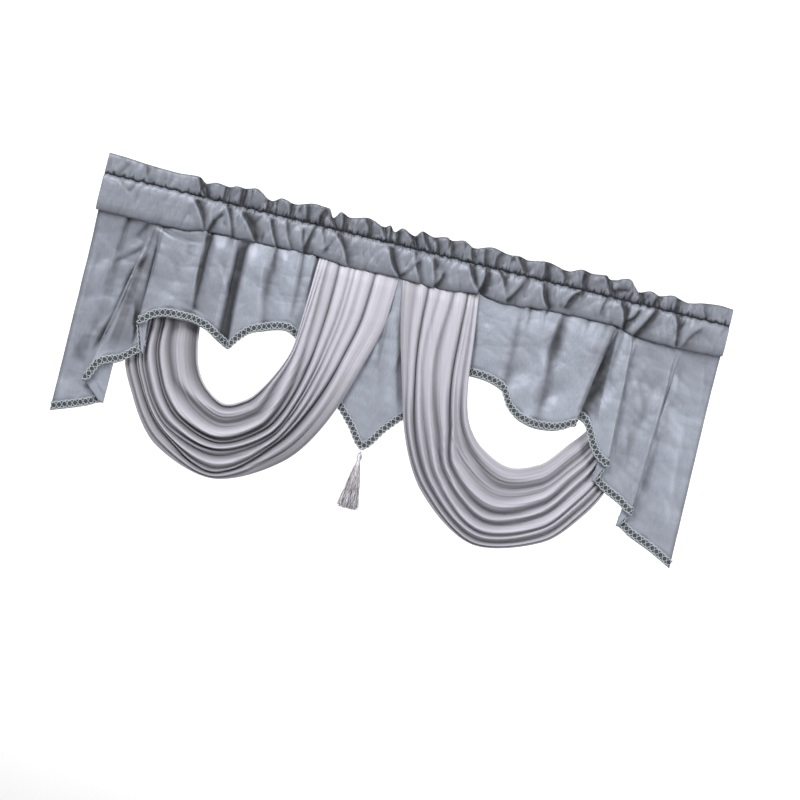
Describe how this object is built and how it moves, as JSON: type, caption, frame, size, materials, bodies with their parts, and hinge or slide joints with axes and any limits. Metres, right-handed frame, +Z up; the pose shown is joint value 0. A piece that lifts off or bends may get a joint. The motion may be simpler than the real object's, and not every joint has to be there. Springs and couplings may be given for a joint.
{
  "type": "swag window valance curtain",
  "caption": "Gathered satin window valance with a ruffled heading, rod pocket, stepped braid-edged hem, pleated swags and a centre tassel.",
  "frame": {"origin": "middle of the top edge of the heading, in the plane of the stitched line", "axes": "+X along the rod, -Y towards the room (the front face), +Z up"},
  "size_m": [1.3671, 0.0495, 0.625],
  "materials": {
    "grey_satin": "blue-grey polyester satin with a soft sheen",
    "pale_satin": "pale mauve-grey satin with a brighter sheen",
    "braid_yarn": "woven gimp braid of pale and dark grey yarn",
    "tassel_yarn": "silver-grey rayon yarn"
  },
  "bodies": {
    "root": {"heading": "grey_satin", "valance_panel": "grey_satin", "hem_braid": "braid_yarn", "swag_left": "pale_satin", "swag_right": "pale_satin", "tassel": "tassel_yarn"}
  },
  "joints": []
}
